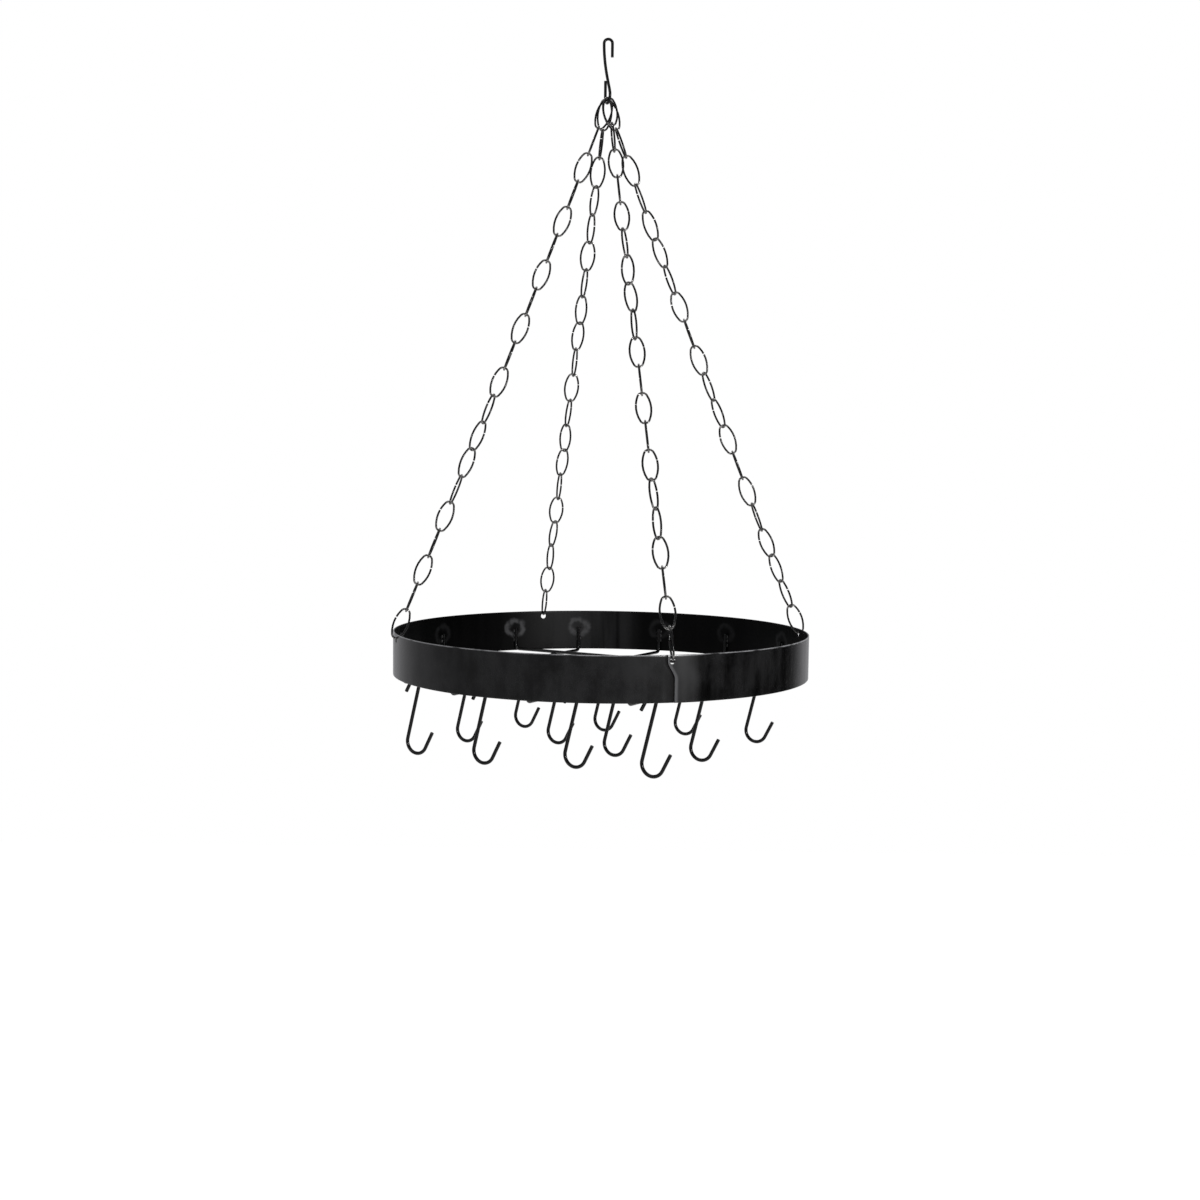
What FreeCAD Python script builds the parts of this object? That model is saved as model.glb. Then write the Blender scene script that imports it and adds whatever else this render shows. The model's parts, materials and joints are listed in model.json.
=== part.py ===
import FreeCAD, Part
import math
import os

Vector = FreeCAD.Vector
Z = Vector(0, 0, 1)
FRONT = Vector(0, -1, 0)  # the side that is looked at

# Hanging pot rack. Millimetres, +Z up, -Y is the front. The origin is where the top hook's upper
# bend rests on its support, so the whole rack hangs below it.

# ---- driving sizes -------------------------------------------------------------------------
band_diameter = 440.0  # outside of the steel hoop
band_height = 45.5
band_thickness = 1.5
band_lap = 22.0  # length over which the strip's ends overlap
band_joggle = 16.0  # length over which the outer end bends back to the hoop's line
chain_hole_diameter = 6.0
chain_hole_depth = 5.9  # hole centre below the upper rim
seam_past_hole = 2.2  # the lapped end stands this far past the front chain hole
seam_ear = 7.2  # its upper corner reaches this much further back, round that hole
seam_ear_height = 8.0  # below the rim
seam_slope_height = 12.0  # then its edge slants over this height

top_hook_wire = 3.0
top_hook_height = 67.6
top_hook_upper_radius = 4.3  # centreline of the bend that hangs on the support
top_hook_lower_radius = 7.9  # centreline of the bend that holds the four chains
top_hook_upper_leg = 14.0
top_hook_lower_leg = 16.0
top_hook_twist = 72.0  # degrees from the upper bend's plane to the lower one's
top_hook_upper_pull = 0.5  # shares of the shank that run on straight from each bend
top_hook_lower_pull = 0.12

chain_wire = 2.1
link_length = 34.17  # outside
link_width = 17.0  # outside
link_crown_bore = 3.95  # inside radius at a link's ends
link_opening = 1.0  # the ends of a link's wire meet with this gap
link_opening_height = -4.5  # measured up from the link's middle
links_per_chain = 20
chain_sag = 2.2  # a chain's middle hangs this far below a straight line

rail_wire = 3.7
rail_count = 4
rail_depth = 46.9  # rail centreline below the upper rim
rail_upright = 27.4  # the welded end, from the rail's centreline to its tip
rail_bend = 5.0  # centreline radius
rail_azimuth = 60.0  # degrees, counter-clockwise from +X
cross_wire_count = 3
cross_wire_spacing = 100.0
cross_wire_shift = 15.5  # the middle cross wire lies this far from the hoop's centre

hook_wire = 3.7
hook_drop = 77.7  # rail centreline to the underside of the hook
hook_upper_radius = 5.0  # centrelines
hook_lower_radius = 12.0
hook_lean = 15.5  # degrees of the shank from upright
hook_stub_flare = 30.0
hook_stub_length = 15.7
hook_tip_flare = 29.0
hook_tip_length = 18.7

link_play = 0.15  # between two links, and between the last link and its hole
seat_gap = 0.3  # between a pot hook and its rail, which swing on each other
chain_seat_gap = 0.5  # between the top hook and the chains' first links
weld_sink = 0.15  # how far a welded wire sinks into what it is welded to

# Each chain: its azimuth, its seat on the top hook's lower bend (degrees round from the lowest
# point, towards the front), the turn of its last link in the hole, how many layers of the strip
# that hole goes through, and the links that turn their face to the front.
chains = {
    "chain_front": (288.0, 39.0, -9.0, 2, (1, 3, 5, 10, 12, 14, 17, 19)),
    "chain_left": (197.0, 13.0, 0.0, 1, (1, 3, 5, 7, 9, 11, 16, 18)),
    "chain_right": (11.0, -13.0, 0.0, 1, (1, 3, 8, 10, 13, 15)),
    "chain_back": (108.5, -39.0, 0.0, 1, (1, 3, 6, 11, 16, 19)),
}
least_turn = 60.0  # degrees from a link to the next one, so that they nest

# One row of hooks for each bay that a cross wire closes, from the left to the right. A value says
# how far across its bay a rail's hook hangs, from the back left rail to the front right one.
hook_rows = (
    (0.23, 0.42, 0.675, 0.525),
    (0.215, 0.665, 0.365, 0.62),
    (0.36, 0.66, 0.945, 0.94),
)

# ---- sizes worked out from them ------------------------------------------------------------
band_radius = band_diameter / 2
band_bore = band_radius - band_thickness

link_half = (link_length - chain_wire) / 2  # to the crown's centreline
link_side = (link_width - chain_wire) / 2
link_crown = link_crown_bore + chain_wire / 2
link_pitch = link_length - 2 * chain_wire - link_play

rail_spacing = 2 * band_bore / (rail_count + 1)
rail_end_radius = band_bore - rail_wire / 2 + weld_sink
cross_wire_rise = rail_wire - weld_sink  # the cross wires lie on the rails


def polar(radius, azimuth, height=0.0):
    angle = math.radians(azimuth)
    return Vector(radius * math.cos(angle), radius * math.sin(angle), height)


def in_plane(across, up):
    """A point of a bent wire, drawn in the XZ plane."""
    return Vector(across, 0, up)


def arc(centre, radius, start, end):
    """An arc in the XZ plane, from one angle in degrees to another, counted from +X to +Z."""
    def at(degrees):
        angle = math.radians(degrees)
        return centre + in_plane(radius * math.cos(angle), radius * math.sin(angle))
    return Part.Arc(at(start), at((start + end) / 2), at(end)).toShape()


def line(start, end):
    return Part.LineSegment(start, end).toShape()


def start_of(edge):
    return edge.valueAt(edge.FirstParameter)


def end_of(edge):
    return edge.valueAt(edge.LastParameter)


def bent_wire(edges, diameter):
    """Round wire along a smooth row of edges, as one solid."""
    first = edges[0]
    ring = Part.makeCircle(diameter / 2, start_of(first), first.tangentAt(first.FirstParameter))
    return Part.Wire(edges).makePipeShell([Part.Wire([ring])], True, False).Solids[0]


# ---- top hook: two bends on one wire, twisted against each other -----------------------------
upper_bend_centre = in_plane(0, top_hook_wire / 2 - top_hook_upper_radius)
lower_bend_height = 1.5 * top_hook_wire - top_hook_height + top_hook_lower_radius
lower_bend_centre = in_plane(0, lower_bend_height)
lower_bend_across = polar(1, -top_hook_twist)  # towards the front, in the lower bend's plane


def seat_on_top_hook(degrees):
    """Centre of the lower bend's wire, and the way it runs there, at an angle round the bend."""
    angle = math.radians(degrees)
    outward = lower_bend_across * math.sin(angle) - Z * math.cos(angle)
    along = lower_bend_across * math.cos(angle) + Z * math.sin(angle)
    return lower_bend_centre + outward * top_hook_lower_radius, along


def make_top_hook():
    upper = arc(upper_bend_centre, top_hook_upper_radius, 0, 180)
    upper_leg = line(start_of(upper) - Z * top_hook_upper_leg, start_of(upper))
    front_end = lower_bend_centre + lower_bend_across * top_hook_lower_radius
    back_end = lower_bend_centre - lower_bend_across * top_hook_lower_radius
    lower = Part.Arc(front_end, seat_on_top_hook(0)[0], back_end).toShape()
    lower_leg = line(back_end, back_end + Z * top_hook_lower_leg)
    drop = Z * (end_of(upper).z - front_end.z)
    shank = Part.BezierCurve()
    shank.setPoles([end_of(upper), end_of(upper) - drop * top_hook_upper_pull,
                    front_end + drop * top_hook_lower_pull, front_end])
    return bent_wire([upper_leg, upper, shank.toShape(), lower, lower_leg], top_hook_wire)


# ---- chains ---------------------------------------------------------------------------------
def make_link():
    """One open link, standing in the XZ plane: two crowns, two flatter sides, and the opening."""
    rise = link_half - link_crown
    side_radius = (link_side**2 + rise**2 - link_crown**2) / (2 * (link_side - link_crown))
    right = in_plane(link_side - side_radius, 0)
    left = in_plane(side_radius - link_side, 0)
    join = math.degrees(math.atan2(rise, side_radius - link_side))
    gap = math.degrees(math.asin(link_opening_height / side_radius))
    half_gap = math.degrees(link_opening / 2 / side_radius)
    edges = [
        arc(right, side_radius, gap + half_gap, join),
        arc(in_plane(0, rise), link_crown, join, 180 - join),
        arc(left, side_radius, 180 - join, 180 + join),
        arc(in_plane(0, -rise), link_crown, 180 + join, 360 - join),
        arc(right, side_radius, -join, gap - half_gap),
    ]
    return bent_wire(edges, chain_wire)


def square_to(direction, axis):
    """The part of a direction that is square to an axis, as a unit vector."""
    flat = direction - axis * direction.dot(axis)
    return flat.normalize()


def turn_about(axis, reference, direction):
    """Degrees from a reference to a direction, both square to the axis."""
    side = axis.cross(reference)
    return math.degrees(math.atan2(direction.dot(side), direction.dot(reference)))


def link_turns(facing, first, face_on, last):
    """How far each link of a chain is turned about the chain. Between two links that face the
    front the twist is even, and every link is turned enough to nest in the one above it."""
    marks = [(1, first)]
    targets = [(number, face_on) for number in facing if 1 < number < links_per_chain]
    for number, target in targets + [(links_per_chain, last)]:
        before, turn = marks[-1]
        least = turn + least_turn * (number - before)
        marks.append((number, target + 180 * math.ceil((least - target) / 180)))
    turns = []
    for (low, low_turn), (high, high_turn) in zip(marks, marks[1:]):
        step = (high_turn - low_turn) / (high - low)
        turns += [low_turn + step * i for i in range(round(high - low))]
    return turns + [marks[-1][1]]


def last_crown_centre(azimuth, layers):
    """Centre of the crown arc that passes through the chain's hole, at the rim's own height 0."""
    wall = layers * band_thickness
    rise = link_crown_bore - math.sqrt(link_crown_bore**2 - (wall / 2)**2)
    hole_top = chain_hole_diameter / 2 - chain_hole_depth
    wire_height = hole_top - link_play - rise - chain_wire / 2
    return polar(band_bore + wall / 2, azimuth, wire_height + link_crown)


def chain_reach():
    """From the top hook's wire to the last crown's centre, with every link pulled tight."""
    over_wire = (top_hook_wire + chain_wire) / 2 + chain_seat_gap
    return 2 * link_half - link_crown + (links_per_chain - 1) * link_pitch - over_wire


lowest_wire = seat_on_top_hook(0)[0].z
single_crown = last_crown_centre(0, 1)
rim_height = lowest_wire - math.sqrt(chain_reach()**2 - single_crown.x**2) - single_crown.z
rail_height = rim_height - rail_depth


def make_chain(azimuth, seat_angle, last_turn, layers, facing):
    seat, wire_way = seat_on_top_hook(seat_angle)
    crown = last_crown_centre(azimuth, layers) + Z * rim_height
    span = (crown - seat).Length
    down = (crown - seat).normalize()
    up = down * -1
    hole_way = square_to(polar(1, azimuth + 90), down)
    top_way = square_to(wire_way, down)
    over_wire = ((top_hook_wire + chain_wire) / 2 + chain_seat_gap) / abs(top_way.dot(wire_way))
    pitch = (span + over_wire + link_crown - 2 * link_half) / (links_per_chain - 1)
    first = turn_about(up, hole_way, top_way)
    face_on = turn_about(up, hole_way, square_to(FRONT, down))
    turns = link_turns(facing, first, face_on, last_turn)
    sag_way = square_to(Z, down) * -1
    pattern = make_link()
    links = []
    for number, turn in enumerate(turns):
        normal = FreeCAD.Rotation(up, turn).multVec(hole_way)
        share = (number * pitch + link_half - over_wire) / span
        middle = seat + down * span * share + sag_way * (4 * chain_sag * share * (1 - share))
        lean = math.degrees(math.atan(4 * chain_sag * (1 - 2 * share) / span))
        link = pattern.copy()
        link.Placement = FreeCAD.Placement(
            middle, FreeCAD.Rotation(normal.cross(up), normal, up, "ZXY"))
        link.rotate(middle, down.cross(sag_way), lean)
        links.append(link)
    return Part.makeCompound(links)


# ---- band: one strip rolled to a hoop, its ends lapped beside the front chain ---------------
def snipped_end(front):
    """What is cut off the lapped end of the strip, below the ear round the front chain's hole."""
    margin = 2 * band_thickness
    tip = seam_past_hole - seam_ear
    corners = [(tip - margin, -seam_ear_height), (tip, -seam_ear_height),
               (seam_past_hole, -seam_ear_height - seam_slope_height),
               (seam_past_hole, -band_height - margin), (tip - margin, -band_height - margin)]
    points = [Vector(0, across, up) for across, up in corners]
    snip = Part.Face(Part.makePolygon(points + points[:1])).extrude(Vector(2 * band_radius, 0, 0))
    snip.rotate(Vector(), Z, front)
    outer_layer = Part.makeCylinder(band_radius + margin, band_height, Z * -band_height).cut(
        Part.makeCylinder(band_radius, band_height, Z * -band_height))
    return snip.common(outer_layer)


def make_band():
    front = chains["chain_front"][0]
    seam = front + math.degrees(seam_past_hole / band_radius)
    ear_tip = seam - math.degrees(seam_ear / band_radius)
    inner_end = seam + math.degrees(band_lap / band_radius)
    lap_end = inner_end + math.degrees(band_thickness / band_radius)
    joggle_end = lap_end + math.degrees(band_joggle / band_radius)

    def outline(radius, step_at):
        """The hoop's line, stepped out by one thickness where the two ends overlap."""
        out = radius + band_thickness
        halfway = (joggle_end + step_at) / 2 - 180
        corners = [polar(radius, joggle_end), polar(radius, step_at), polar(out, step_at),
                   polar(out, lap_end)]
        return Part.Wire([
            Part.Arc(corners[0], polar(radius, halfway), corners[1]).toShape(),
            line(corners[1], corners[2]),
            Part.Arc(corners[2], polar(out, (step_at + lap_end) / 2), corners[3]).toShape(),
            line(corners[3], corners[0]),
        ])

    outside = Part.Face(outline(band_radius, ear_tip))
    inside = Part.Face(outline(band_bore, inner_end))
    strip = outside.cut(inside).extrude(Z * band_height)
    strip.translate(Z * -band_height)
    strip = strip.cut(snipped_end(front))
    strip.translate(Z * rim_height)
    hole_height = rim_height - chain_hole_depth
    drills = []
    for azimuth, *_chain in chains.values():
        start = polar(band_radius - 4 * band_thickness, azimuth, hole_height)
        drills.append(Part.makeCylinder(
            chain_hole_diameter / 2, 8 * band_thickness, start, polar(1, azimuth)))
    return strip.cut(Part.makeCompound(drills))


# ---- the wires across the band, their ends bent up and welded inside it ---------------------
def half_length(offset):
    """From the middle of a wire to its upright end, for a wire that misses the centre by offset."""
    return math.sqrt(rail_end_radius**2 - offset**2)


def make_welded_wire(offset, azimuth, height):
    half = half_length(offset)
    tip = rail_upright - (height - rail_height)
    left = arc(in_plane(rail_bend - half, rail_bend), rail_bend, 180, 270)
    right = arc(in_plane(half - rail_bend, rail_bend), rail_bend, 270, 360)
    edges = [
        line(in_plane(-half, tip), start_of(left)),
        left,
        line(end_of(left), start_of(right)),
        right,
        line(end_of(right), in_plane(half, tip)),
    ]
    wire = bent_wire(edges, rail_wire)
    wire.translate(Vector(0, -offset, height))
    wire.rotate(Vector(), Z, azimuth)
    return wire


rail_offsets = [rail_spacing * (i - (rail_count - 1) / 2) for i in range(rail_count)]
cross_offsets = [cross_wire_shift + cross_wire_spacing * (i - (cross_wire_count - 1) / 2)
                 for i in range(cross_wire_count)]


# ---- pot hooks ------------------------------------------------------------------------------
def make_pot_hook():
    """One hook in the XZ plane, over a rail whose centre is the origin, hanging as it balances."""
    seat = (rail_wire + hook_wire) / 2 + seat_gap
    upper = arc(in_plane(0, seat - hook_upper_radius), hook_upper_radius,
                180 - hook_stub_flare, -hook_lean)
    stub_way = polar(1, 180 + 90 - hook_stub_flare)
    stub_way = in_plane(stub_way.x, stub_way.y)
    stub = line(start_of(upper) + stub_way * hook_stub_length, start_of(upper))
    lean = math.radians(hook_lean)
    lower_height = hook_wire / 2 + hook_lower_radius - hook_drop
    shank_top = end_of(upper)
    shank_drop = shank_top.z - lower_height - hook_lower_radius * math.sin(lean)
    shank_end = shank_top + in_plane(-shank_drop * math.tan(lean), -shank_drop)
    lower_centre = in_plane(shank_end.x + hook_lower_radius * math.cos(lean), lower_height)
    lower = arc(lower_centre, hook_lower_radius, 180 - hook_lean, 360 - hook_tip_flare)
    tip_way = polar(1, 90 - hook_tip_flare)
    tip_way = in_plane(tip_way.x, tip_way.y)
    tip = line(end_of(lower), end_of(lower) + tip_way * hook_tip_length)
    hook = bent_wire([stub, upper, line(shank_top, start_of(lower)), lower, tip], hook_wire)
    balance = hook.CenterOfMass
    hook.rotate(Vector(), Vector(0, 1, 0), math.degrees(math.atan2(balance.x, -balance.z)))
    return hook


def hook_place(row, rail):
    """Where a hook hangs on its rail: a share of the bay between two cross wires or the wall."""
    offset = rail_offsets[rail]
    bay_start = cross_offsets[row - 1] if row else -half_length(offset)
    along = bay_start + hook_rows[row][rail] * (cross_offsets[row] - bay_start)
    place = Vector(along, -offset, rail_height)
    return FreeCAD.Rotation(Z, rail_azimuth).multVec(place)


# ---- the pieces -----------------------------------------------------------------------------
def make_pieces():
    pieces = {"top_hook": make_top_hook(), "band": make_band()}
    for name, chain in chains.items():
        pieces[name] = make_chain(*chain)
    for i, offset in enumerate(rail_offsets):
        pieces[f"rail_{i + 1}"] = make_welded_wire(offset, rail_azimuth, rail_height)
    for i, offset in enumerate(cross_offsets):
        pieces[f"cross_wire_{i + 1}"] = make_welded_wire(
            offset, rail_azimuth + 90, rail_height + cross_wire_rise)
    pattern = make_pot_hook()
    for row in range(len(hook_rows)):
        for rail in range(rail_count):
            hook = pattern.copy()
            hook.rotate(Vector(), Z, rail_azimuth - 90)
            hook.translate(hook_place(row, rail))
            pieces[f"pot_hook_{row * rail_count + rail + 1}"] = hook
    return pieces


os.makedirs("parts", exist_ok=True)
for node, shape in make_pieces().items():
    shape.exportStep(f"parts/{node}.step")
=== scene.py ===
import json
import math
import random

import bpy
import bmesh
from mathutils import Matrix, Vector, noise

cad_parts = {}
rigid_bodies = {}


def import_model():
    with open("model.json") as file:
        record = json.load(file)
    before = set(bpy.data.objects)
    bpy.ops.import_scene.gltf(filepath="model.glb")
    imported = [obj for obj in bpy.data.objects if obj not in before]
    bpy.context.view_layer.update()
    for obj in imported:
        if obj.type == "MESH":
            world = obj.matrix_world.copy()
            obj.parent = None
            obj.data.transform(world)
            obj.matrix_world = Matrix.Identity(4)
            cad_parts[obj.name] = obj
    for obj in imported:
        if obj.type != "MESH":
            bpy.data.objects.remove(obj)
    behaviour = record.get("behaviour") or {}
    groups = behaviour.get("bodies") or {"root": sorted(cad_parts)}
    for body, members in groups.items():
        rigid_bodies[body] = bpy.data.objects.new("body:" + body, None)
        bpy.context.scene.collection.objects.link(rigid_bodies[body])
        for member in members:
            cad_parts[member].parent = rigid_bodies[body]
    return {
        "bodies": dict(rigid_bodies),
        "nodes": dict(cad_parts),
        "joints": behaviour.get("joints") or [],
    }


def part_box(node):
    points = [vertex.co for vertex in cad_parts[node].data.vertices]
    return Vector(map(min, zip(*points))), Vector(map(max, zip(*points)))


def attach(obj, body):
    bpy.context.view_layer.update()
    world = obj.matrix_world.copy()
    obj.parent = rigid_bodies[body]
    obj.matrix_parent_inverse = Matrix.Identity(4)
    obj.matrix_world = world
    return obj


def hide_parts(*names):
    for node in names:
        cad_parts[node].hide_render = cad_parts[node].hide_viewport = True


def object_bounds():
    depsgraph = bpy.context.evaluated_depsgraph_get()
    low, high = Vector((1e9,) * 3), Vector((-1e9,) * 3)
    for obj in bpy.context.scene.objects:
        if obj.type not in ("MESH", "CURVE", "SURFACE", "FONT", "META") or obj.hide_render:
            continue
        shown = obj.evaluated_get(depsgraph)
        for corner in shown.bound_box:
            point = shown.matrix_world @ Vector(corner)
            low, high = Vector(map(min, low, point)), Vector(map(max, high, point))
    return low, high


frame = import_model()
cadBox = [list(corner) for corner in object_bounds()]
up = Vector((0, 0, 1))
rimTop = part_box("band")[1].z
joints = {joint["name"]: joint for joint in frame["joints"]}
print("frame loaded, rim at", round(rimTop, 4))


# a node's output that can be added, multiplied and so on as if it were a number
class Flow:
    def __init__(self, finish, socket):
        self.finish, self.socket = finish, socket

    def maths(self, operation, other):
        return self.finish.add("Math", {"operation": operation}, {0: self, 1: other})

    def __add__(self, other):
        return self.maths("ADD", other)

    def __mul__(self, other):
        return self.maths("MULTIPLY", other)

    def __sub__(self, other):
        return self.maths("SUBTRACT", other)

    def __rsub__(self, other):
        return self.finish.add("Math", {"operation": "SUBTRACT"}, {0: other, 1: self})

    # a smooth step from one level of this value to another
    def span(self, low, high, outLow=0.0, outHigh=1.0):
        values = {0: self, 1: low, 2: high, 3: outLow, 4: outHigh}
        return self.finish.add("MapRange", {"interpolation_type": "SMOOTHSTEP"}, values)


# the nodes of a material or of the world, and the one method that adds them
class Finish:
    def __init__(self, owner, place="Object"):
        self.owner = owner
        self.owner.use_nodes = True
        self.tree = self.owner.node_tree
        self.tree.nodes.clear()
        self.place = self.add("TexCoord", out=place)

    def add(self, kind, settings=None, values=None, out=0):
        node = self.tree.nodes.new("ShaderNode" + kind)
        for name, value in (settings or {}).items():
            setattr(node, name, value)
        for name, value in (values or {}).items():
            if isinstance(value, Flow):
                self.tree.links.new(value.socket, node.inputs[name])
            else:
                node.inputs[name].default_value = value
        return Flow(self, node.outputs[out]) if len(node.outputs) else None

    def grain(self, scale, stretch=(1, 1, 1), detail=3.0, roughness=0.5):
        place = self.add("Mapping", values={"Vector": self.place, "Scale": stretch})
        values = {"Vector": place, "Scale": scale, "Detail": detail, "Roughness": roughness}
        return self.add("TexNoise", values=values)

    # one coordinate of the place
    def along(self, axis):
        return self.add("SeparateXYZ", values={0: self.place}, out=axis)

    # a number that the mesh holds at each of its points
    def marked(self, name):
        return self.add("Attribute", {"attribute_name": name}, out="Fac")

    # for colours this node takes its inputs 0, 6 and 7 and gives its output 2
    def blend(self, amount, low, high):
        values = {0: amount, 6: low, 7: high}
        return self.add("Mix", {"data_type": "RGBA"}, values, out=2)

    def shade(self, values, bump, bumpDepth):
        normal = self.add("Bump", values={"Height": bump, "Distance": bumpDepth})
        return self.add("BsdfPrincipled", values={**values, "Normal": normal})

    def close(self, shader):
        self.add("OutputMaterial", values={"Surface": shader})
        return self.owner

    # one finish over another, by the amount of the second
    def layer(self, amount, under, over):
        return self.add("MixShader", values={0: amount, 1: under, 2: over})

    # where a ray from the camera, or one that leaves glass, looks
    def seen(self):
        return self.ray("Camera").maths("MAXIMUM", self.ray("Transmission"))

    def ray(self, kind):
        return self.add("LightPath", out=f"Is {kind} Ray")


blueTint = 1.03  # greys lean slightly to blue


def grey(level):
    return (level, level, level * blueTint, 1)


black, white = (0, 0, 0, 1), (1, 1, 1, 1)
even = (1, 1, 1)  # a grain that isn't stretched

# grains are (scale, stretch, detail, roughness); pairs are where a step begins and ends
hoopLook = {
    "dark": 0.0008, "light": 0.008, "roughness": 0.17, "roughnessSpread": 0.08,
    "specular": 0.2, "bump": 0.00006,
    "streaks": (60, (1, 1, 0.07), 4), "clouds": (14, even, 2), "fine": (900, (1, 1, 0.25), 2),
    "smoke": (38, (1, 1, 0.7), 6, 0.65), "smokeShare": 0.5, "otherShare": 0.25,
    "toneStep": (0.4, 0.6), "roughStep": (0.3, 0.7), "waveHeight": 0.6, "fineHeight": 0.25,
    # rubbed: paler patchy wear along the top edge, brightened into a painted highlight along the
    # rim
    "wornRimHighlight": 0.16, "wornRimHighlightDepth": (0.0012, 0.0003), "wornRimHighlightGrain": (60,),
    "wornRimHighlightStep": (0.3, 0.6),
    # seam: a painted highlight along the raised outer end of the lap
    "seam": 0.05, "seamHighlightReach": (0.0042, 0.0015), "seamHighlightStep": (0.2, 0.5),
    # lap: a painted sheen across the lapped outer layer
    "lap": 0.016, "lapSheenReach": (0.03, 0.018), "lapSheenStep": (0.35, 0.6),
    # gap: a painted shadow line on the strip beside the lap's outer end, also made duller
    "gap": 0.0002, "gapShadeReach": (0.0035, 0.0012), "gapShadeDullness": 0.85,
}
insideLook = {
    # dark is the inner face's own black; light is a painted reflection, laid in the pale zone
    "dark": 0.0005, "light": 0.009, "specular": 0.06, "duller": 0.15,
    "paleReflectionLeft": (-0.08, -0.035), "paleReflectionRight": (0.05, 0.02), "paleReflectionStep": (0.3, 0.6),
    "heat": 0.034, "ringInner": (0.0055, 0.0095), "ringOuter": (0.015, 0.0105),
    "wobble": (110,), "wobbleMiddle": 0.5, "wobbleDepth": 0.009,
    "breaks": (240, (1, 1, 0.6)), "breakStep": (0.25, 0.6, 0.45, 1.0),
}


# satin black strip: rolling streaks across it, a paler worn upper edge under a painted rim
# highlight, a painted highlight and painted sheen at the lap, a painted shadow in the gap beside
# the lap, and on its duller inner face a painted reflection and burnt rings round the welds
def hoopPaint():
    look = hoopLook
    f = Finish(bpy.data.materials.new("hoopPaint"))
    streaks, clouds, fine = [f.grain(*look[name]) for name in ("streaks", "clouds", "fine")]
    fromTop = rimTop - f.along("Z")
    # painted highlight along the top rim, laid on patchy worn paint
    patches = f.grain(*look["wornRimHighlightGrain"]).span(*look["wornRimHighlightStep"])
    edge = fromTop.span(*look["wornRimHighlightDepth"]) * patches
    fromEnd, lapped = f.marked("fromEnd"), f.marked("lapped")
    # painted highlight along the lap's outer end
    lipHighlight = fromEnd.span(*look["seamHighlightReach"]) * streaks.span(*look["seamHighlightStep"]) * lapped
    # painted sheen across the lap
    lap = fromEnd.span(*look["lapSheenReach"]) * clouds.span(*look["lapSheenStep"]) * lapped
    # painted shadow in the gap beside the lap's outer end
    gap = fromEnd.span(*look["gapShadeReach"]) * (1 - lapped)
    tone = (streaks * look["otherShare"] + clouds * look["otherShare"]
            + f.grain(*look["smoke"]) * look["smokeShare"]).span(*look["toneStep"])
    colour = f.blend(tone, grey(look["dark"]), grey(look["light"]))
    for amount, level in ((lap, "lap"), (lipHighlight, "seam"), (gap, "gap"), (edge, "wornRimHighlight")):
        colour = f.blend(amount, colour, grey(look[level]))
    rough = streaks.span(*look["roughStep"]) * look["roughnessSpread"] + look["roughness"]
    height = (streaks * look["waveHeight"] + fine * look["fineHeight"]
              + clouds * look["waveHeight"])
    values = {"Specular IOR Level": look["specular"], "Base Color": colour, "Roughness": rough}
    outer = f.shade(values, height, look["bump"])
    inner = f.shade(insideValues(f, streaks, rough), height, look["bump"])
    # the painted shadow beside the lap also takes the inner face's duller finish
    return f.close(f.layer(f.marked("inside") + gap * look["gapShadeDullness"], outer, inner))


# the hoop's inner face: near black, with a painted reflection as a paler zone left of the middle,
# and the burnt rings
def insideValues(f, streaks, rough):
    look = insideLook
    wobble = (f.grain(*look["wobble"]) - look["wobbleMiddle"]) * look["wobbleDepth"]
    far = f.marked("fromWeld") + wobble
    ring = far.span(*look["ringInner"]) * far.span(*look["ringOuter"]) * f.marked("weldHeat")
    ring = ring * f.grain(*look["breaks"]).span(*look["breakStep"])
    # painted reflection: a paler zone to the left of the middle of the inner face
    side = f.along("X")
    pale = side.span(*look["paleReflectionLeft"]) * side.span(*look["paleReflectionRight"])
    pale = pale * streaks.span(*look["paleReflectionStep"])
    colour = f.blend(pale, grey(look["dark"]), grey(look["light"]))
    colour = f.blend(ring, colour, grey(look["heat"]))
    return {"Specular IOR Level": look["specular"], "Base Color": colour,
            "Roughness": rough + look["duller"]}


wireLook = {
    "dark": 0.0004, "light": 0.0015, "roughness": 0.14, "roughnessSpread": 0.08, "bump": 0.00002,
    "peel": (420, even, 2), "patches": (55, even, 3), "patchHeight": 0.5,
    "toneStep": (0.35, 0.68), "roughStep": (0.3, 0.7),
    "steel": (0.34, 0.33, 0.32, 1), "scratches": (700, even, 2), "scratchStep": (0.42, 0.58),
}


# black coated wire: a slight orange peel, drawing lines, and scuffs where pieces rub
def wirePaint(name, specular, scuff=0.0):
    look = wireLook
    f = Finish(bpy.data.materials.new(name))
    peel, patches = f.grain(*look["peel"]), f.grain(*look["patches"])
    colour = f.blend(patches.span(*look["toneStep"]), grey(look["dark"]), grey(look["light"]))
    rough = peel.span(*look["roughStep"]) * look["roughnessSpread"] + look["roughness"]
    values = {"Specular IOR Level": specular, "Base Color": colour, "Roughness": rough}
    if scuff:
        scratches = f.grain(*look["scratches"]).span(*look["scratchStep"])
        worn = f.marked("rub") * scratches * scuff
        values["Base Color"] = f.blend(worn, colour, look["steel"])
        values["Metallic"] = worn
    return f.close(f.shade(values, peel + patches * look["patchHeight"], look["bump"]))


weldLook = {
    "dark": 0.002, "light": 0.012, "roughness": 0.385, "roughnessSpread": 0.25,
    "specular": 0.4, "bump": 0.00012, "lumps": (800, even, 3), "toneStep": (0.4, 0.7),
}


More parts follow.
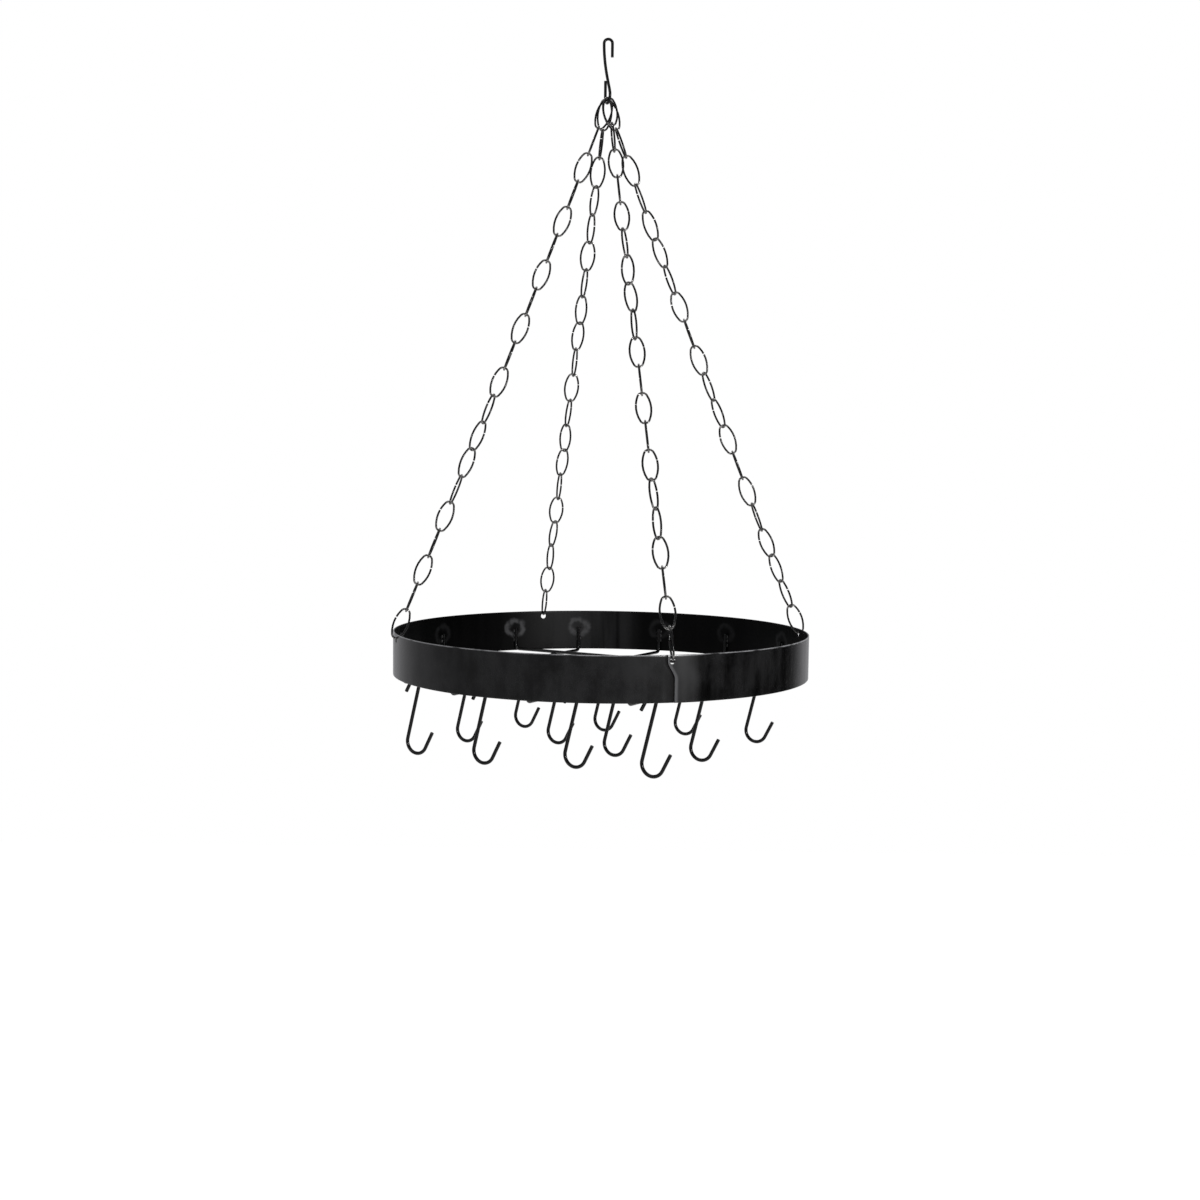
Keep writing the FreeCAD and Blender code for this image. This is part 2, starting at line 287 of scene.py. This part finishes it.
# painted-over weld: lumpy, with a coarser skin than the wire
def weldMetal():
    look = weldLook
    f = Finish(bpy.data.materials.new("weldMetal"))
    lumps = f.grain(*look["lumps"])
    colour = f.blend(lumps.span(*look["toneStep"]), grey(look["dark"]), grey(look["light"]))
    rough = lumps * look["roughnessSpread"] + look["roughness"]
    values = {"Specular IOR Level": look["specular"], "Base Color": colour, "Roughness": rough}
    return f.close(f.shade(values, lumps, look["bump"]))


finishes = {
    "hoop": hoopPaint(),
    "wire": wirePaint("wirePaint", specular=0.35),
    "chain": wirePaint("chainPaint", specular=0.2, scuff=0.8),
    "hook": wirePaint("hookPaint", specular=0.2),
    "weld": weldMetal(),
}
print("finishes made")


def newObject(name, data):
    item = bpy.data.objects.new(name, data)
    bpy.context.scene.collection.objects.link(item)
    return item


def keep(name, mesh, body, nodes=(), finish=None):
    piece = newObject(name, mesh)
    if finish:
        mesh.materials.clear()
        mesh.materials.append(finishes[finish])
    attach(piece, body)
    if nodes:
        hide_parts(*nodes)


def plainMesh(name, bm):
    mesh = bpy.data.meshes.new(name)
    bm.to_mesh(mesh)
    bm.free()
    return mesh


# a geometry tree with named inputs, a function that adds a node to it, and its inputs
def nodeTree(name, inputs):
    tree = bpy.data.node_groups.new(name, "GeometryNodeTree")
    tree.interface.new_socket("Geometry", in_out="INPUT", socket_type="NodeSocketGeometry")
    for label, kind in inputs.items():
        tree.interface.new_socket(label, in_out="INPUT", socket_type="NodeSocket" + kind)
    tree.interface.new_socket("Geometry", in_out="OUTPUT", socket_type="NodeSocketGeometry")

    def add(kind, settings=None, values=None, out=0):
        node = tree.nodes.new(kind)
        for label, value in (settings or {}).items():
            setattr(node, label, value)
        for label, value in (values or {}).items():
            if isinstance(value, bpy.types.NodeSocket):
                tree.links.new(value, node.inputs[label])
            else:
                node.inputs[label].default_value = value
        return node.outputs[out]
    given = tree.nodes.new("NodeGroupInput").outputs
    return tree, add, given


# the plain mesh that a tree makes from an object, with the tree's inputs set by name
def grown(tree, source, values, name):
    modifier = source.modifiers.new("grow", "NODES")
    modifier.node_group = tree
    for item in tree.interface.items_tree:
        if item.in_out == "INPUT" and item.name in values:
            modifier[item.identifier] = values[item.name]
    graph = bpy.context.evaluated_depsgraph_get()
    mesh = bpy.data.meshes.new_from_object(source.evaluated_get(graph))
    mesh.name = name
    bpy.data.objects.remove(source)
    return mesh


# round wire along a curve: the curve's own point radius rounds off the cut ends
def wireTree():
    inputs = {"Wire Radius": "Float", "Sides": "Int", "Finish": "Material"}
    tree, add, given = nodeTree("bentWire", inputs)
    ring = add("GeometryNodeCurvePrimitiveCircle",
               values={"Resolution": given["Sides"], "Radius": given["Wire Radius"]})
    wire = add("GeometryNodeCurveToMesh",
               values={"Curve": given["Geometry"], "Profile Curve": ring, "Fill Caps": True})
    smooth = add("GeometryNodeSetShadeSmooth", values={"Geometry": wire})
    done = add("GeometryNodeSetMaterial", values={"Geometry": smooth, "Material": given["Finish"]})
    tree.links.new(done, tree.nodes.new("NodeGroupOutput").inputs[0])
    return tree


bentWire = wireTree()


# a point that is so far out from the origin, in degrees from +X towards +Z
def bearing(degrees, length=1.0):
    return Vector((math.cos(math.radians(degrees)), 0, math.sin(math.radians(degrees)))) * length


# points on an arc in the XZ plane
def arc(centre, radius, start, end, step=6.0):
    count = max(3, math.ceil(abs(end - start) / step))
    return [centre + bearing(start + (end - start) * i / count, radius) for i in range(count + 1)]


cutEnd = {"cut": 0.25, "knee": 0.3}  # shares of the wire's radius, and of the way along the cut


# adds the points that round off both cut ends of a wire. Gives (point, radius share)
def roundedEnds(points, wireRadius):
    cut, knee = cutEnd["cut"], cutEnd["knee"]
    length = wireRadius * cut
    first = (points[1] - points[0]).normalized()
    last = (points[-2] - points[-1]).normalized()
    shares = [(0.0, 1 - cut), (knee, 1 - cut * knee), (1.0, 1.0)]
    start = [(points[0] + first * length * along, share) for along, share in shares]
    end = [(points[-1] + last * length * along, share) for along, share in reversed(shares)]
    return start + [(point, 1.0) for point in points[1:-1]] + end


def wireMesh(name, points, wireRadius, sides, finish):
    curve = bpy.data.curves.new(name, "CURVE")
    curve.dimensions = "3D"
    spline = curve.splines.new("POLY")
    shaped = roundedEnds(points, wireRadius)
    spline.points.add(len(shaped) - 1)
    for point, (place, share) in zip(spline.points, shaped):
        point.co = (*place, 1)
        point.radius = share
    source = newObject(name + "Path", curve)
    values = {"Wire Radius": wireRadius, "Sides": sides, "Finish": finishes[finish]}
    return grown(bentWire, source, values, name)


def turned(points, matrix):
    return [matrix @ point for point in points]


topHook = {
    "wire": 0.003, "height": 0.0676, "upperRadius": 0.0043, "lowerRadius": 0.0079,
    "upperLeg": 0.014, "lowerLeg": 0.016, "twist": -72.0, "sides": 20,
    "upperPull": 0.5, "lowerPull": 0.12, "shankSteps": 28, "legSteps": (0.3, 0.6, 1.0),
}


def bezier(start, startPull, endPull, end, count):
    points = []
    for i in range(count + 1):
        t = i / count
        points.append(start * (1 - t)**3 + startPull * (3 * t * (1 - t)**2)
                      + endPull * (3 * t * t * (1 - t)) + end * t**3)
    return points


# the origin is inside the upper bend, and the height is measured over the wire
def topHookPath():
    t = topHook
    upper = arc(Vector((0, 0, t["wire"] / 2 - t["upperRadius"])), t["upperRadius"], 0, 180)
    centre = Vector((0, 0, 1.5 * t["wire"] - t["height"] + t["lowerRadius"]))
    lower = arc(Vector(), t["lowerRadius"], 0, -180)
    turn = Matrix.Translation(centre) @ Matrix.Rotation(math.radians(t["twist"]), 4, "Z")
    lower = turned(lower, turn)
    drop = up * (upper[-1].z - lower[0].z)
    shank = bezier(upper[-1], upper[-1] - drop * t["upperPull"],
                   lower[0] + drop * t["lowerPull"], lower[0], t["shankSteps"])
    tip = [upper[0] - up * t["upperLeg"] * share for share in reversed(t["legSteps"])]
    tail = [lower[-1] + up * t["lowerLeg"] * share for share in t["legSteps"]]
    return tip + upper + shank[1:-1] + lower + tail


mesh = wireMesh("topHookWire", topHookPath(), topHook["wire"] / 2, topHook["sides"], "hook")
keep("topHookWire", mesh, "top_hook", ["top_hook"])
print("top hook bent")


potHook = {
    "wire": 0.0037, "seatGap": 0.0003, "drop": 0.0777, "upperRadius": 0.005,
    "lowerRadius": 0.012, "lean": 15.5, "stubFlare": 30.0, "stubLength": 0.0157,
    "tipFlare": 29.0, "tipLength": 0.0187, "sides": 18,
}


# one hook in the XZ plane over a rail at the origin, turned until it balances
def potHookPath():
    h = potHook
    seat = h["wire"] + h["seatGap"]
    lean = math.radians(h["lean"])
    upper = arc(up * (seat - h["upperRadius"]), h["upperRadius"], 180 - h["stubFlare"], -h["lean"])
    stub = upper[0] + bearing(270 - h["stubFlare"], h["stubLength"])
    lowerHeight = h["wire"] / 2 + h["lowerRadius"] - h["drop"]
    fall = upper[-1].z - lowerHeight - h["lowerRadius"] * math.sin(lean)
    shankEnd = upper[-1] + Vector((-fall * math.tan(lean), 0, -fall))
    centre = Vector((shankEnd.x + h["lowerRadius"] * math.cos(lean), 0, lowerHeight))
    lower = arc(centre, h["lowerRadius"], 180 - h["lean"], 360 - h["tipFlare"])
    tip = lower[-1] + bearing(90 - h["tipFlare"], h["tipLength"])
    points = [stub] + upper + lower + [tip]
    middle, length = Vector(), 0
    for a, b in zip(points, points[1:]):
        middle += (a + b) / 2 * (b - a).length
        length += (b - a).length
    middle /= length
    balance = Matrix.Rotation(math.atan2(middle.x, -middle.z), 4, "Y")
    return turned(points, balance)


hookPath = potHookPath()
hookBodies = [name for name in frame["bodies"] if name.startswith("hanger_")]
for body in hookBodies:
    number = body.rsplit("_", 1)[1]
    joint = joints[f"pot_hook_{number}_swing"]
    along = Vector(joint["axis"])
    turn = Matrix.Rotation(math.atan2(along.y, along.x) - math.pi / 2, 4, "Z")
    place = Matrix.Translation(Vector(joint["pos_m"])) @ turn
    name = f"potHookWire{number}"
    mesh = wireMesh(name, turned(hookPath, place), potHook["wire"] / 2, potHook["sides"], "hook")
    keep(name, mesh, body, [f"pot_hook_{number}"])
print("pot hooks bent:", len(hookBodies))


grid = {"wire": 0.0037, "bend": 0.005, "topDepth": 0.0195, "sides": 16, "weldSink": 0.00015}
heatMarks = {"seed": 3, "strengths": (0.15, 0.3, 1.0)}
strip = {"radius": 0.22, "thickness": 0.0015, "height": 0.0455}
railWay = Vector(joints["pot_hook_1_swing"]["axis"]).normalized()
crossWay = Vector((-railWay.y, railWay.x, 0))
boreRadius = strip["radius"] - strip["thickness"]
endRadius = boreRadius - grid["wire"] / 2 + grid["weldSink"]


# a wire across the hoop with its ends bent up, where the frame has its node
def gridWire(name, node, way):
    low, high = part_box(node)
    side = Vector((-way.y, way.x, 0))
    offset = ((low + high) / 2).dot(side)
    height = low.z + grid["wire"] / 2
    half = math.sqrt(endRadius**2 - offset**2)
    bend, tip = grid["bend"], high.z - height
    left = arc(Vector((bend - half, 0, bend)), bend, 180, 270)
    right = arc(Vector((half - bend, 0, bend)), bend, 270, 360)
    points = [Vector((-half, 0, tip))] + left + right + [Vector((half, 0, tip))]
    place = Matrix.Translation(side * offset + up * height)
    turn = Matrix.Rotation(math.atan2(way.y, way.x), 4, "Z")
    mesh = wireMesh(name, turned(points, place @ turn), grid["wire"] / 2, grid["sides"], "wire")
    keep(name, mesh, "rack", [node])
    ends = [side * offset + way * half * end for end in (-1, 1)]
    return {"way": way, "middle": side * offset, "ends": ends, "height": height}


gridWires = []
for node in frame["nodes"]:
    if node.startswith("rail_"):
        gridWires.append(gridWire(f"railWire{node[-1]}", node, railWay))
    elif node.startswith("cross_wire_"):
        gridWires.append(gridWire(f"crossWire{node[-1]}", node, crossWay))
print("grid wires bent:", len(gridWires))
weldSpots = {}  # where each wire's end meets the hoop, and how strongly the heat marked it
heatDraw = random.Random(heatMarks["seed"])
for wire in gridWires:
    for end in wire["ends"]:
        spot = end + up * (rimTop - grid["topDepth"])
        weldSpots[spot.freeze()] = heatDraw.choice(heatMarks["strengths"])


hoop = {
    "seamAngle": 288.0, "seamPast": 0.0022, "lap": 0.022, "joggle": 0.016,
    "corner": 0.00035, "cornerSteps": 3,
    "ear": 0.0072, "earHeight": 0.008, "slopeHeight": 0.012, "slopeBlur": 0.002,
    "earFade": 0.018, "rows": 24, "step": 0.6, "layerGap": 0.00004, "sharpFrom": 40.0,
    "wave": 0.00012, "waveScale": 5, "waveScaleUp": 12,
    "holes": {288.0: 2, 197.0: 1, 11.0: 1, 108.5: 1},  # layers of strip at each chain hole
    "holeRadius": 0.003, "holeDepth": 0.0059, "mouth": 0.00025, "holeSides": 32,
    "haloSquash": 1.15,
    "lappedFrom": 1.5, "insideTo": 0.3,  # in thicknesses of the strip, out from its bore
}


def within(share):
    return min(max(share, 0.0), 1.0)


def ease(share):
    share = within(share)
    return share * share * (3 - 2 * share)


# angles and inner radii along the strip, from its inner end all round to its outer end
def stripStations():
    seam = math.radians(hoop["seamAngle"]) + hoop["seamPast"] / strip["radius"]
    innerEnd = seam + hoop["lap"] / strip["radius"]
    lapEnd = innerEnd + strip["thickness"] / strip["radius"]
    joggleEnd = lapEnd + hoop["joggle"] / strip["radius"]
    start, stop = innerEnd, seam - 2 * math.pi
    count = math.ceil((start - stop) / math.radians(hoop["step"]))
    stations = []
    for i in range(count + 1):
        angle = start + (stop - start) * i / count
        place = angle + 2 * math.pi  # where this is on the lapped turn
        raised = ease((joggleEnd - place) / (joggleEnd - lapEnd)) if place < joggleEnd else 0.0
        stations.append((angle, boreRadius + raised * (strip["thickness"] + hoop["layerGap"])))
    return stations


# how far the strip's outer end reaches past its own seam line, at a depth below the rim
def earReach(depth):
    blur = hoop["slopeBlur"]
    slope = [(depth + shift - hoop["earHeight"]) / hoop["slopeHeight"]
             for shift in (-blur, 0, blur)]
    return hoop["ear"] * sum(1 - within(share) for share in slope) / len(slope)


# the strip's section as (out, height) with rounded edges, in order round it
def stripSection():
    r, t, h = hoop["corner"], strip["thickness"], strip["height"]
    steps = hoop["cornerSteps"]
    points = []
    for x, z, start in ((t - r, h - r, 0), (r, h - r, 90), (r, r, 180), (t - r, r, 270)):
        for i in range(steps + 1):
            a = math.radians(start + 90 / steps * i)
            points.append((x + r * math.cos(a), z + r * math.sin(a)))
        if start in (90, 270):
            side = 0.0 if start == 90 else t
            begin, finish = (h - r, r) if start == 90 else (r, h - r)
            for i in range(1, hoop["rows"]):
                points.append((side, begin + (finish - begin) * i / hoop["rows"]))
    return points


# faces between each ring of vertices and the next, and one at either end
def loft(bm, rings):
    for a, b in zip(rings, rings[1:]):
        for i in range(len(a)):
            j = (i + 1) % len(a)
            bm.faces.new((a[i], b[i], b[j], a[j]))
    bm.faces.new(rings[0])
    bm.faces.new(list(reversed(rings[-1])))


def makeHoop():
    stations, section = stripStations(), stripSection()
    outerEnd = stations[-1][0]
    scale, scaleUp = hoop["waveScale"], hoop["waveScaleUp"]
    bm = bmesh.new()
    rings = []
    for angle, radius in stations:
        ring = []
        fade = max(0.0, 1 - (angle - outerEnd) * strip["radius"] / hoop["earFade"])
        for out, height in section:
            slid = angle - fade * earReach(strip["height"] - height) / strip["radius"]
            place = Vector((math.cos(slid), math.sin(slid), 0))
            bumpy = noise.noise(Vector((place.x * scale, place.y * scale, height * scaleUp)))
            point = place * (radius + out - abs(bumpy * hoop["wave"]))
            ring.append(bm.verts.new((point.x, point.y, rimTop - strip["height"] + height)))
        rings.append(ring)
    loft(bm, rings)
    bmesh.ops.recalc_face_normals(bm, faces=bm.faces)
    for face in bm.faces:
        face.smooth = len(face.verts) == 4
    return plainMesh("hoopStrip", bm)


# four turned plugs that leave holes with slightly rounded mouths
def drillShape():
    bm = bmesh.new()
    r, soft, sides = hoop["holeRadius"], hoop["mouth"], hoop["holeSides"]
    for degrees, layers in hoop["holes"].items():
        depth = (layers * strip["thickness"] + (layers - 1) * hoop["layerGap"]) / 2
        profile = [(-depth - r, r + soft), (-depth, r + soft), (-depth + soft, r),
                   (depth - soft, r), (depth, r + soft), (depth + r, r + soft)]
        a = math.radians(degrees)
        out = Vector((math.cos(a), math.sin(a), 0))
        side = Vector((-out.y, out.x, 0))
        centre = out * (boreRadius + depth) + up * (rimTop - hoop["holeDepth"])
        rings = []
        for along, radius in profile:
            angles = [2 * math.pi * i / sides for i in range(sides)]
            rings.append([bm.verts.new(
                centre + out * along + (side * math.cos(b) + up * math.sin(b)) * radius)
                for b in angles])
        loft(bm, rings)
    bmesh.ops.recalc_face_normals(bm, faces=bm.faces)
    return plainMesh("drill", bm)


# for the paint: how far each vertex is from the nearest weld and from the strip's outer end
def markHoop(mesh):
    names = ("fromWeld", "weldHeat", "fromEnd", "lapped", "inside")
    for name in names:
        mesh.attributes.new(name, "FLOAT", "POINT")
    gaps, heats, ends, laps, insides = [mesh.attributes[name].data for name in names]
    seam = hoop["seamAngle"] + math.degrees(hoop["seamPast"] / strip["radius"])
    for i, vertex in enumerate(mesh.vertices):
        spot = min(weldSpots, key=lambda s: (s - vertex.co).length_squared)
        gap = vertex.co - spot
        gaps[i].value = math.hypot(gap.x, gap.y, gap.z * hoop["haloSquash"])
        heats[i].value = weldSpots[spot.freeze()]
        angle = math.degrees(math.atan2(vertex.co.y, vertex.co.x)) - seam
        past = math.radians((angle + 180) % 360 - 180) * strip["radius"]
        ends[i].value = abs(past + earReach(rimTop - vertex.co.z))
        layer = (vertex.co.xy.length - boreRadius) / strip["thickness"]
        laps[i].value = 1.0 if layer > hoop["lappedFrom"] else 0.0
        insides[i].value = 1.0 if layer < hoop["insideTo"] else 0.0


def finishHoop():
    source = newObject("hoopSource", makeHoop())
    drill = newObject("drill", drillShape())
    cut = source.modifiers.new("holes", "BOOLEAN")
    cut.operation, cut.object, cut.solver = "DIFFERENCE", drill, "EXACT"
    graph = bpy.context.evaluated_depsgraph_get()
    mesh = bpy.data.meshes.new_from_object(source.evaluated_get(graph))
    bpy.data.objects.remove(source)
    bpy.data.objects.remove(drill)
    mesh.name = "hoopStrip"
    mesh.set_sharp_from_angle(angle=math.radians(hoop["sharpFrom"]))
    markHoop(mesh)
    keep("hoopStrip", mesh, "rack", ["band"], "hoop")


finishHoop()
print("hoop rolled")


link = {
    "wire": 0.0021, "length": 0.03417, "width": 0.017, "crownBore": 0.00395,
    "opening": 0.001, "openingHeight": -0.0045, "sides": 12, "flatStep": 9, "crownStep": 13,
    "rubStart": 0.0125, "rubFade": 0.003, "mergeWithin": 1e-6,
    "lengthGuess": (0.3, 0.2, 1), "widthGuess": (0.1, 0.05, 0),  # where the search starts
}


# one open link in the XZ plane, its opening low on the +X side
def linkPath():
    half, side = (link["length"] - link["wire"]) / 2, (link["width"] - link["wire"]) / 2
    crown = link["crownBore"] + link["wire"] / 2
    rise = half - crown
    flat = (side**2 + rise**2 - crown**2) / (2 * (side - crown))
    join = math.degrees(math.atan2(rise, flat - side))
    gap = math.degrees(math.asin(link["openingHeight"] / flat))
    halfGap = math.degrees(link["opening"] / 2 / flat)
    right, left = Vector((side - flat, 0, 0)), Vector((flat - side, 0, 0))
    flatStep, crownStep = link["flatStep"], link["crownStep"]
    return (arc(right, flat, gap + halfGap, join, flatStep)
            + arc(up * rise, crown, join, 180 - join, crownStep)[1:]
            + arc(left, flat, 180 - join, 180 + join, flatStep)[1:]
            + arc(up * -rise, crown, 180 + join, 360 - join, crownStep)[1:]
            + arc(right, flat, -join, gap - halfGap, flatStep)[1:])


# a link on every point, turned as the point says, joined to one mesh
def chainTree():
    inputs = {"Link": "Object", "Finish": "Material"}
    tree, add, given = nodeTree("linkChain", inputs)
    shape = add("GeometryNodeObjectInfo", values={"Object": given["Link"]}, out="Geometry")
    turn = add("GeometryNodeInputNamedAttribute", {"data_type": "FLOAT_VECTOR"},
               {"Name": "turn"})
    spin = add("FunctionNodeEulerToRotation", values={"Euler": turn})
    row = add("GeometryNodeInstanceOnPoints",
              values={"Points": given["Geometry"], "Instance": shape, "Rotation": spin})
    real = add("GeometryNodeRealizeInstances", values={"Geometry": row})
    done = add("GeometryNodeSetMaterial", values={"Geometry": real, "Material": given["Finish"]})
    tree.links.new(done, tree.nodes.new("NodeGroupOutput").inputs[0])
    return tree


# where each loose solid of a CAD chain is: its middle and its turn
def linkPlaces(node):
    bm = bmesh.new()
    bm.from_mesh(frame["nodes"][node].data)
    bmesh.ops.remove_doubles(bm, verts=bm.verts, dist=link["mergeWithin"])
    seen, places = set(), []
    for start in bm.verts:
        if start in seen:
            continue
        island, queue = [], [start]
        seen.add(start)
        while queue:
            vertex = queue.pop()
            island.append(vertex)
            for edge in vertex.link_edges:
                other = edge.other_vert(vertex)
                if other not in seen:
                    seen.add(other)
                    queue.append(other)
        places.append(linkPlace(island))
    bm.free()
    return places


# the direction that a matrix stretches most, found by applying it over and over
def strongest(matrix, way, rounds=60):
    for _ in range(rounds):
        way = (matrix @ way).normalized()
    return way, (matrix @ way).length


# a link's length and width are the two directions in which its surface spreads most, and its
# opening pulls the surface's middle away from the link's own
def linkPlace(island):
    faces = dict.fromkeys(face for vertex in island for face in vertex.link_faces)
    parts = [(face.calc_area(), face.calc_center_median()) for face in faces]
    area = sum(part[0] for part in parts)
    middle = sum((centre * share for share, centre in parts), Vector()) / area
    spread = [[0.0] * 3 for _ in range(3)]
    for share, centre in parts:
        gap = centre - middle
        for i in range(3):
            for j in range(3):
                spread[i][j] += share * gap[i] * gap[j] / area
    spread = Matrix(spread)
    along, strength = strongest(spread, Vector(link["lengthGuess"]))
    rest = spread - Matrix([[strength * along[i] * along[j] for j in range(3)] for i in range(3)])
    across = strongest(rest, along.orthogonal() + Vector(link["widthGuess"]))[0]
    across = (across - along * across.dot(along)).normalized()
    centre = Vector()
    for way in (along, across, along.cross(across)):
        reach = [vertex.co.dot(way) for vertex in island]
        centre += way * (min(reach) + max(reach)) / 2
    lost = centre - middle  # points to the link's opening
    if lost.dot(across) < 0:
        across = -across
    if lost.dot(along) > 0:
        along = -along
    turn = Matrix((across, along.cross(across), along)).transposed().to_euler()
    return centre, turn


# marks the crowns, where links rub on each other
def markCrowns(mesh):
    rub = mesh.attributes.new("rub", "FLOAT", "POINT")
    for i, vertex in enumerate(mesh.vertices):
        rub.data[i].value = ease((abs(vertex.co.z) - link["rubStart"]) / link["rubFade"])


linkChain = chainTree()
linkShape = wireMesh("linkShape", linkPath(), link["wire"] / 2, link["sides"], "chain")
markCrowns(linkShape)
pattern = newObject("linkPattern", linkShape)
for side in ("front", "right", "back", "left"):
    places = linkPlaces(f"chain_{side}")
    points = bpy.data.meshes.new("links")
    points.from_pydata([place for place, _turn in places], [], [])
    turns = points.attributes.new("turn", "FLOAT_VECTOR", "POINT")
    for i, (_place, turn) in enumerate(places):
        turns.data[i].vector = turn
    name = side + "Chain"
    source = newObject(name + "Points", points)
    mesh = grown(linkChain, source, {"Link": pattern, "Finish": finishes["chain"]}, name)
    keep(name, mesh, "rack", [f"chain_{side}"])
    print("chain", side, "with", len(places), "links")
bpy.data.objects.remove(pattern)


rimWeld = {
    "size": 0.001575, "stretch": (0.62, 0.62, 1.5), "inFromBore": 0.0005, "flank": 0.0019,
    "drops": (0.003, 0.008, 0.013), "dropSpread": 0.001,
}
crossWeld = {"size": 0.0013, "stretch": (1, 1, 0.9), "shift": 0.0013}
bead = {"seed": 7, "lump": 0.22, "lumpScale": 900, "noiseSpan": 50, "subdivisions": 2}


# one lumpy bead of weld
def blob(bm, place, kind, draw):
    made = bmesh.ops.create_icosphere(
        bm, subdivisions=bead["subdivisions"], radius=kind["size"])["verts"]
    shift = Vector((draw.random(), draw.random(), draw.random())) * bead["noiseSpan"]
    for vertex in made:
        lump = 1 + bead["lump"] * noise.noise(vertex.co * bead["lumpScale"] + shift)
        vertex.co = Vector(v * s for v, s in zip(vertex.co * lump, kind["stretch"])) + place


# two rows of beads beside each wire's end, on the hoop's inner face
def layRimWelds(bm, draw):
    for wire in gridWires:
        for end in wire["ends"]:
            outward = end.normalized()
            along = Vector((-outward.y, outward.x, 0))
            for flank in (-1, 1):
                for drop in rimWeld["drops"]:
                    spot = (outward * (boreRadius - rimWeld["inFromBore"])
                            + along * flank * rimWeld["flank"])
                    lift = rimTop - grid["topDepth"] - drop - draw.random() * rimWeld["dropSpread"]
                    blob(bm, spot + up * lift, rimWeld, draw)


# two beads at each crossing of a rail and a cross wire
def layCrossWelds(bm, draw):
    rails = [wire for wire in gridWires if wire["way"] == railWay]
    crossWires = [wire for wire in gridWires if wire["way"] == crossWay]
    for rail in rails:
        for cross in crossWires:
            base = rail["middle"] + cross["middle"] + up * (rail["height"] + cross["height"]) / 2
            for flank in (-1, 1):
                shift = (rail["way"] + cross["way"] * flank) * crossWeld["shift"]
                blob(bm, base + shift * draw.choice((-1, 1)), crossWeld, draw)


draw = random.Random(bead["seed"])
for name, lay in (("rimWelds", layRimWelds), ("gridWelds", layCrossWelds)):
    bm = bmesh.new()
    lay(bm, draw)
    for face in bm.faces:
        face.smooth = True
    keep(name, plainMesh(name, bm), "rack", finish="weld")
print("welds laid")


camera = {
    "right": 0.004862, "distance": 1.754002, "aboveRim": 0.187625, "reach": 50,
    "yaw": 0.211, "pitch": 5.058, "roll": 0.697, "focal": 49.674, "sensor": 36.0,
}


def placeCamera():
    data = bpy.data.cameras.new("photoCamera")
    data.sensor_width, data.lens = camera["sensor"], camera["focal"]
    data.clip_end = camera["reach"]
    item = newObject("photoCamera", data)
    turn = (Matrix.Rotation(math.radians(camera["yaw"]), 4, "Z")
            @ Matrix.Rotation(math.radians(90 - camera["pitch"]), 4, "X")
            @ Matrix.Rotation(math.radians(camera["roll"]), 4, "Z"))
    place = Vector((camera["right"], -camera["distance"], rimTop + camera["aboveRim"]))
    item.matrix_world = Matrix.Translation(place) @ turn
    bpy.context.scene.camera = item


studio = {
    "floorDrop": 0.55, "floorSize": 3.6, "floorGlow": 1.08, "floorShare": 0.85,
    "floorRoughness": 0.9, "fibres": (40, even, 4), "fibreStep": (0.3, 0.7, 0.86, 0.92),
    "sky": 0.6, "front": 0.5, "shade": 0.02, "backdrop": 0.6,
    "backdropStep": (0.5, 0.85), "backdropSlant": 0.08, "shadeStep": (0.6, 0.8),
    "lamps": (
        # place, aimed at, size, watts
        ((1.25, -1.76, -0.3), (0, 0, -0.7), (0.3, 0.3), 38),
        ((-1.5, -1.6, 0.5), (0, 0, -0.6), (0.9, 1.2), 8),
        ((0.2, 0.9, 1.2), (0, 0, -0.5), (1.4, 0.8), 16),
    ),
}


# white to the camera, and in reflections a white backdrop behind with a dimmer room in front
def studioWorld():
    f = Finish(bpy.data.worlds.new("studioWorld"), "Generated")
    right, back = f.along("X"), f.along("Y")
    backdrop = (back - right * studio["backdropSlant"]).span(*studio["backdropStep"])
    room = f.blend(right.span(*studio["shadeStep"]), grey(studio["front"]), grey(studio["shade"]))
    mirrored = f.blend(backdrop, room, grey(studio["backdrop"]))
    colour = f.blend(f.ray("Glossy"), grey(studio["sky"]), mirrored)
    colour = f.blend(f.seen(), colour, white)
    light = f.add("Background", values={"Color": colour})
    f.add("OutputWorld", values={"Surface": light})
    return f.owner


# pale paper that shows white, darker only where a shadow falls
def floorPaper():
    f = Finish(bpy.data.materials.new("floorPaper"))
    fibres = f.grain(*studio["fibres"]).span(*studio["fibreStep"])
    values = {"Base Color": f.blend(fibres, black, white), "Roughness": studio["floorRoughness"]}
    paper = f.add("BsdfPrincipled", values=values)
    glow = f.add("Emission", values={"Strength": studio["floorGlow"]})
    share = f.seen().maths("MAXIMUM", f.ray("Glossy")) * studio["floorShare"]
    return f.close(f.layer(share, paper, glow))


def placeStudio():
    bpy.context.scene.world = studioWorld()
    half, height = studio["floorSize"] / 2, cadBox[0][2] - studio["floorDrop"]
    floorMesh = bpy.data.meshes.new("floor")
    corners = [(-half, -half), (half, -half), (half, half), (-half, half)]
    floorMesh.from_pydata([(x, y, height) for x, y in corners], [], [(0, 1, 2, 3)])
    floorMesh.materials.append(floorPaper())
    newObject("floor", floorMesh)

    for i, (place, target, size, watts) in enumerate(studio["lamps"]):
        data = bpy.data.lights.new(f"softbox{i + 1}", "AREA")
        data.shape, data.size, data.size_y, data.energy = "RECTANGLE", *size, watts
        lamp = newObject(f"softbox{i + 1}", data)
        lamp.location = place
        lamp.rotation_euler = (Vector(target) - Vector(place)).to_track_quat("-Z", "Y").to_euler()


placeCamera()
placeStudio()
bpy.context.scene.view_settings.view_transform = "Standard"
print("camera and studio placed")
